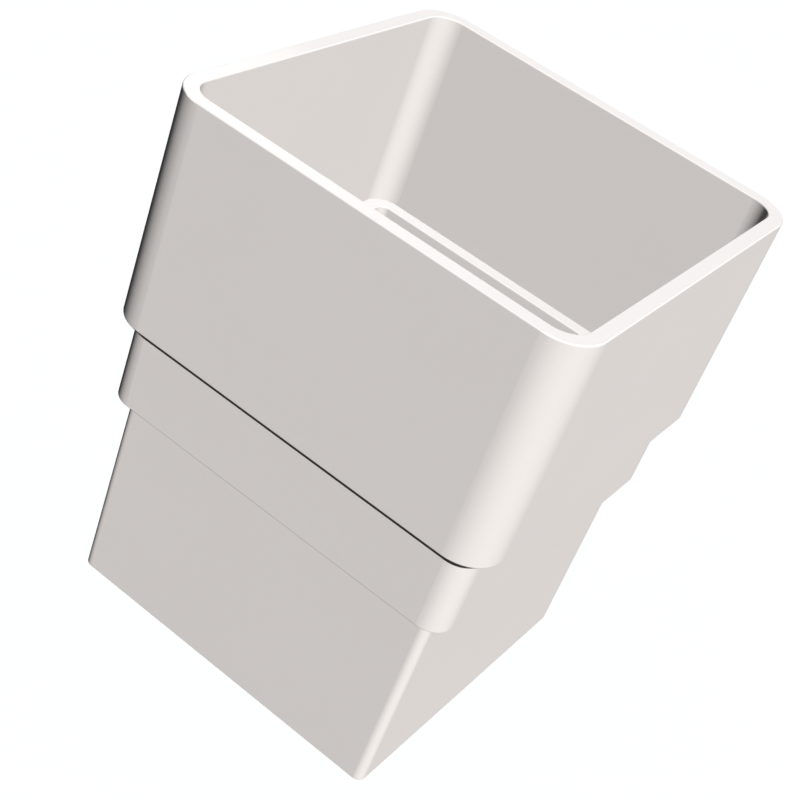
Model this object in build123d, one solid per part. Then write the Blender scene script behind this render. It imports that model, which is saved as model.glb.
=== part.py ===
from build123d import *
import os

# Downpipe socket: one hollow plastic moulding, square in section, that joins two lengths
# of square downpipe. It stands upright, in millimetres, with Z up. The origin is on the
# axis of the pipe, at the open lower end. From the bottom up it has a spigot that goes
# into the lower pipe, a neck as wide as the pipe, and a socket that takes the upper pipe.

# The square downpipe that the fitting joins
pipe_width = 65.0
pipe_corner_radius = 3.5
pipe_wall = 1.8

# Gaps left on each side, so that the pipe and the fitting slide together by hand
socket_clearance = 0.5
spigot_clearance = 0.2

# Lengths along the pipe
spigot_length = 36.4
neck_height = 18.2
socket_depth = 36.4

# Thicknesses of the moulding
wall = 2.5
pipe_stop_width = 2.5
pipe_stop_thickness = 2.5
neck_floor_thickness = 2.5

# Small radii: the sharpest upright corner that the mould has, and the break on each edge
sharpest_corner_radius = 0.5
edge_radius = 0.2

# Levels, measured from the open end of the spigot
neck_bottom = spigot_length
neck_floor_top = neck_bottom + neck_floor_thickness
pipe_stop_level = neck_bottom + neck_height
socket_skirt_bottom = pipe_stop_level - pipe_stop_thickness
rim_level = pipe_stop_level + socket_depth

# Widths across the flats: the bore follows the outside of the upper pipe, and the spigot
# follows the bore of the lower one
socket_bore = pipe_width + 2 * socket_clearance
socket_outside = socket_bore + 2 * wall
neck_bore = socket_bore - 2 * pipe_stop_width
neck_outside = neck_bore + 2 * wall
spigot_outside = pipe_width - 2 * pipe_wall - 2 * spigot_clearance
spigot_bore = spigot_outside - 2 * wall


def corner_radius_inside(outer_radius, inset):
    """Radius of a corner drawn inside another one at an even distance from it."""
    return max(outer_radius - inset, sharpest_corner_radius)


socket_bore_radius = pipe_corner_radius + socket_clearance
socket_outside_radius = socket_bore_radius + wall
neck_bore_radius = corner_radius_inside(socket_bore_radius, pipe_stop_width)
neck_outside_radius = neck_bore_radius + wall
spigot_outside_radius = corner_radius_inside(pipe_corner_radius, pipe_wall + spigot_clearance)
spigot_bore_radius = corner_radius_inside(spigot_outside_radius, wall)


def square_block(width, corner_radius, bottom, top):
    """An upright block on the axis, square in plan with rounded corners."""
    outline = RectangleRounded(width, width, corner_radius)
    return Pos(0, 0, bottom) * extrude(outline, top - bottom)


def outer_form():
    """The three square outsides. The socket's foot slopes in at 45 degrees to the neck."""
    spigot = square_block(spigot_outside, spigot_outside_radius, 0, neck_floor_top)
    neck = square_block(neck_outside, neck_outside_radius, neck_bottom, pipe_stop_level)
    slope = (socket_outside - neck_outside) / 2
    socket = square_block(
        socket_outside, socket_outside_radius, socket_skirt_bottom - slope, rim_level)
    foot = socket.faces().sort_by(Axis.Z)[0]
    socket = chamfer(foot.edges(), slope)
    return spigot + neck + socket


def passage():
    """The way through for the water, widening upwards in two flat steps."""
    spigot = square_block(spigot_bore, spigot_bore_radius, 0, neck_floor_top)
    neck = square_block(neck_bore, neck_bore_radius, neck_floor_top, pipe_stop_level)
    socket = square_block(socket_bore, socket_bore_radius, pipe_stop_level, rim_level)
    return spigot + neck + socket


def outward_level_edges(body):
    """The level edges that stand out, at both ends and on each step inside and outside."""
    level_faces = body.faces().filter_by(Axis.Z).sort_by(Axis.Z)
    spigot_end, neck_shoulder, neck_floor, pipe_stop, rim = level_faces
    skirt_edges = body.edges().filter_by_position(
        Axis.Z, socket_skirt_bottom - edge_radius / 2, socket_skirt_bottom + edge_radius / 2)
    return (
        spigot_end.edges()
        + neck_shoulder.outer_wire().edges()
        + neck_floor.inner_wires().edges()
        + pipe_stop.inner_wires().edges()
        + skirt_edges
        + rim.edges()
    )


def downpipe_socket():
    """The whole moulding, with its edges softened as a mould leaves them."""
    body = outer_form() - passage()
    return fillet(outward_level_edges(body), edge_radius)


os.makedirs("parts", exist_ok=True)
export_step(downpipe_socket(), "parts/downpipe_socket.step")
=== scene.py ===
import math

import bpy
import bmesh
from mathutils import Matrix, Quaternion, Vector

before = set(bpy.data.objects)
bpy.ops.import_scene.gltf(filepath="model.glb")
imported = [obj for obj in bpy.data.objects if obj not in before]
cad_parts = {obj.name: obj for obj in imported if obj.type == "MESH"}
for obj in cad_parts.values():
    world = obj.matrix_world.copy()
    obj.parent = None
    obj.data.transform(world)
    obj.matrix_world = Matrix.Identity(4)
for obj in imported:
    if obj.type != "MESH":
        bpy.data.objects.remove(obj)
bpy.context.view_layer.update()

scene = bpy.context.scene
scene.view_settings.view_transform = "Standard"


# The downpipe socket: one hollow moulding of rigid white PVC, square in section, 71 mm
# across and 91 mm high. It comes out of a polished mould, so its skin is smooth with a
# soft gloss, and only the light shows the slight unevenness of the cooled plastic.
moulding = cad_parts["downpipe_socket"]

pvc_white = (0.848, 0.799, 0.768, 1.0)
pvc_shade = (0.828, 0.779, 0.748, 1.0)

pvc = bpy.data.materials.new("white_pvc")
pvc.use_nodes = True
nodes, links = pvc.node_tree.nodes, pvc.node_tree.links
skin = nodes["Principled BSDF"]
skin.inputs["IOR"].default_value = 1.53

where = nodes.new("ShaderNodeTexCoord")

# Faint clouds in the colour and the polish, a couple of centimetres across
cooling = nodes.new("ShaderNodeTexNoise")
cooling.inputs["Scale"].default_value = 45.0
cooling.inputs["Detail"].default_value = 3.0
links.new(where.outputs["Object"], cooling.inputs["Vector"])
tone = nodes.new("ShaderNodeMix")
tone.data_type = "RGBA"
tone.inputs["A"].default_value = pvc_shade
tone.inputs["B"].default_value = pvc_white
links.new(cooling.outputs["Fac"], tone.inputs["Factor"])
links.new(tone.outputs["Result"], skin.inputs["Base Color"])

polish = nodes.new("ShaderNodeMapRange")
polish.inputs["To Min"].default_value = 0.38
polish.inputs["To Max"].default_value = 0.46
links.new(cooling.outputs["Fac"], polish.inputs["Value"])
links.new(polish.outputs["Result"], skin.inputs["Roughness"])

# The soft gloss shows on faces turned to the eye, and fades on those seen at a slant
tilt = nodes.new("ShaderNodeLayerWeight")
tilt.inputs["Blend"].default_value = 0.5
gloss = nodes.new("ShaderNodeMapRange")
gloss.inputs["From Min"].default_value = 0.25
gloss.inputs["From Max"].default_value = 0.60
gloss.inputs["To Min"].default_value = 0.4
gloss.inputs["To Max"].default_value = 0.0
links.new(tilt.outputs["Facing"], gloss.inputs["Value"])
links.new(gloss.outputs["Result"], skin.inputs["Specular IOR Level"])

# The fine grain of the mould, under a millimetre across and very shallow
grain = nodes.new("ShaderNodeTexNoise")
grain.inputs["Scale"].default_value = 1400.0
grain.inputs["Detail"].default_value = 2.0
links.new(where.outputs["Object"], grain.inputs["Vector"])
relief = nodes.new("ShaderNodeBump")
relief.inputs["Strength"].default_value = 0.05
relief.inputs["Distance"].default_value = 0.00005
links.new(grain.outputs["Fac"], relief.inputs["Height"])
links.new(relief.outputs["Normal"], skin.inputs["Normal"])

for slot in moulding.material_slots:
    slot.material = pvc


# The floor: a plain sweep of white paper that the socket stands on. It looks white to the
# eye and in reflections, and throws little light back, so the shaded edges stay dark.
floor_size = 6.0
paper_seen = (0.91, 0.91, 0.91, 1.0)
paper_bounce = (0.03, 0.03, 0.03, 1.0)


def seen_or_reflected(nodes, links):
    """1 for a ray from the eye, or one reflected or bent by metal or glass, and else 0."""
    path = nodes.new("ShaderNodeLightPath")
    reflected = nodes.new("ShaderNodeMath")
    reflected.operation = "MAXIMUM"
    links.new(path.outputs["Is Glossy Ray"], reflected.inputs[0])
    links.new(path.outputs["Is Transmission Ray"], reflected.inputs[1])
    seen = nodes.new("ShaderNodeMath")
    seen.operation = "MAXIMUM"
    links.new(path.outputs["Is Camera Ray"], seen.inputs[0])
    links.new(reflected.outputs["Value"], seen.inputs[1])
    return seen.outputs["Value"]


sheet = bmesh.new()
bmesh.ops.create_grid(sheet, x_segments=1, y_segments=1, size=floor_size / 2)
floor_mesh = bpy.data.meshes.new("floor")
sheet.to_mesh(floor_mesh)
sheet.free()
floor = bpy.data.objects.new("floor", floor_mesh)
scene.collection.objects.link(floor)

paper = bpy.data.materials.new("white_paper")
paper.use_nodes = True
nodes, links = paper.node_tree.nodes, paper.node_tree.links
matt = nodes["Principled BSDF"]
matt.inputs["Roughness"].default_value = 1.0
matt.inputs["Specular IOR Level"].default_value = 0.0
paper_tone = nodes.new("ShaderNodeMix")
paper_tone.data_type = "RGBA"
paper_tone.inputs["A"].default_value = paper_bounce
paper_tone.inputs["B"].default_value = paper_seen
links.new(seen_or_reflected(nodes, links), paper_tone.inputs["Factor"])
links.new(paper_tone.outputs["Result"], matt.inputs["Base Color"])
floor_mesh.materials.append(paper)


# The light: an even key lamp from the right, high in front, a weaker one low behind, and a
# cool one overhead, which gives the soft shadow on the floor. The room itself is nearly
# dark to the socket and white to the eye. Levels are what a face square to the lamp gets.
key_level = 1.38
back_level = 0.85
overhead_level = 0.10
overhead_colour = (0.7, 1.0, 1.3)
room_level = 0.03


def lamp(name, azimuth, elevation, level, spread, casts_shadow, colour=(1.0, 1.0, 1.0)):
    """A lamp far away: azimuth from the front towards the right, both angles in degrees."""
    turn, rise = math.radians(azimuth), math.radians(elevation)
    shines_from = Vector((
        math.sin(turn) * math.cos(rise),
        -math.cos(turn) * math.cos(rise),
        math.sin(rise),
    ))
    light = bpy.data.lights.new(name, "SUN")
    light.energy = level * math.pi
    light.angle = math.radians(spread)
    light.use_shadow = casts_shadow
    light.color = colour
    stand = bpy.data.objects.new(name, light)
    stand.rotation_mode = "QUATERNION"
    stand.rotation_quaternion = shines_from.to_track_quat("Z", "Y")
    scene.collection.objects.link(stand)


lamp("key", azimuth=51.2, elevation=42.4, level=key_level, spread=4.0, casts_shadow=False)
lamp("back", azimuth=-145.0, elevation=4.0, level=back_level, spread=20.0, casts_shadow=False)
lamp("overhead", azimuth=0.0, elevation=90.0, level=overhead_level, spread=50.0,
     casts_shadow=True, colour=overhead_colour)

# The walls of the socket don't light each other, so each face keeps one even tone
moulding.visible_diffuse = False

room = bpy.data.worlds.new("room")
room.use_nodes = True
nodes, links = room.node_tree.nodes, room.node_tree.links
nodes["Background"].inputs["Color"].default_value = (1.0, 1.0, 1.0, 1.0)
room_strength = nodes.new("ShaderNodeMapRange")
room_strength.inputs["To Min"].default_value = room_level
room_strength.inputs["To Max"].default_value = 1.0
links.new(seen_or_reflected(nodes, links), room_strength.inputs["Value"])
links.new(room_strength.outputs["Result"], nodes["Background"].inputs["Strength"])
scene.world = room


# The camera: above the socket on its right, near enough for a strong perspective, and
# turned about its own line of sight, so that the socket leans to the right in the picture.
view_azimuth = math.radians(23.04)
view_elevation = math.radians(34.10)
camera_roll = math.radians(21.72)
camera_distance = 0.25738
camera_aim = Vector((0.00184, -0.00492, 0.04725))

away = Vector((
    math.sin(view_azimuth) * math.cos(view_elevation),
    -math.cos(view_azimuth) * math.cos(view_elevation),
    math.sin(view_elevation),
))
camera = bpy.data.objects.new("camera", bpy.data.cameras.new("camera"))
camera.data.sensor_width = 36.0
camera.data.lens = 72.76
camera.data.clip_start = 0.01
camera.rotation_mode = "QUATERNION"
camera.rotation_quaternion = away.to_track_quat("Z", "Y") @ Quaternion((0, 0, 1), camera_roll)
camera.location = camera_aim + away * camera_distance
scene.collection.objects.link(camera)
scene.camera = camera
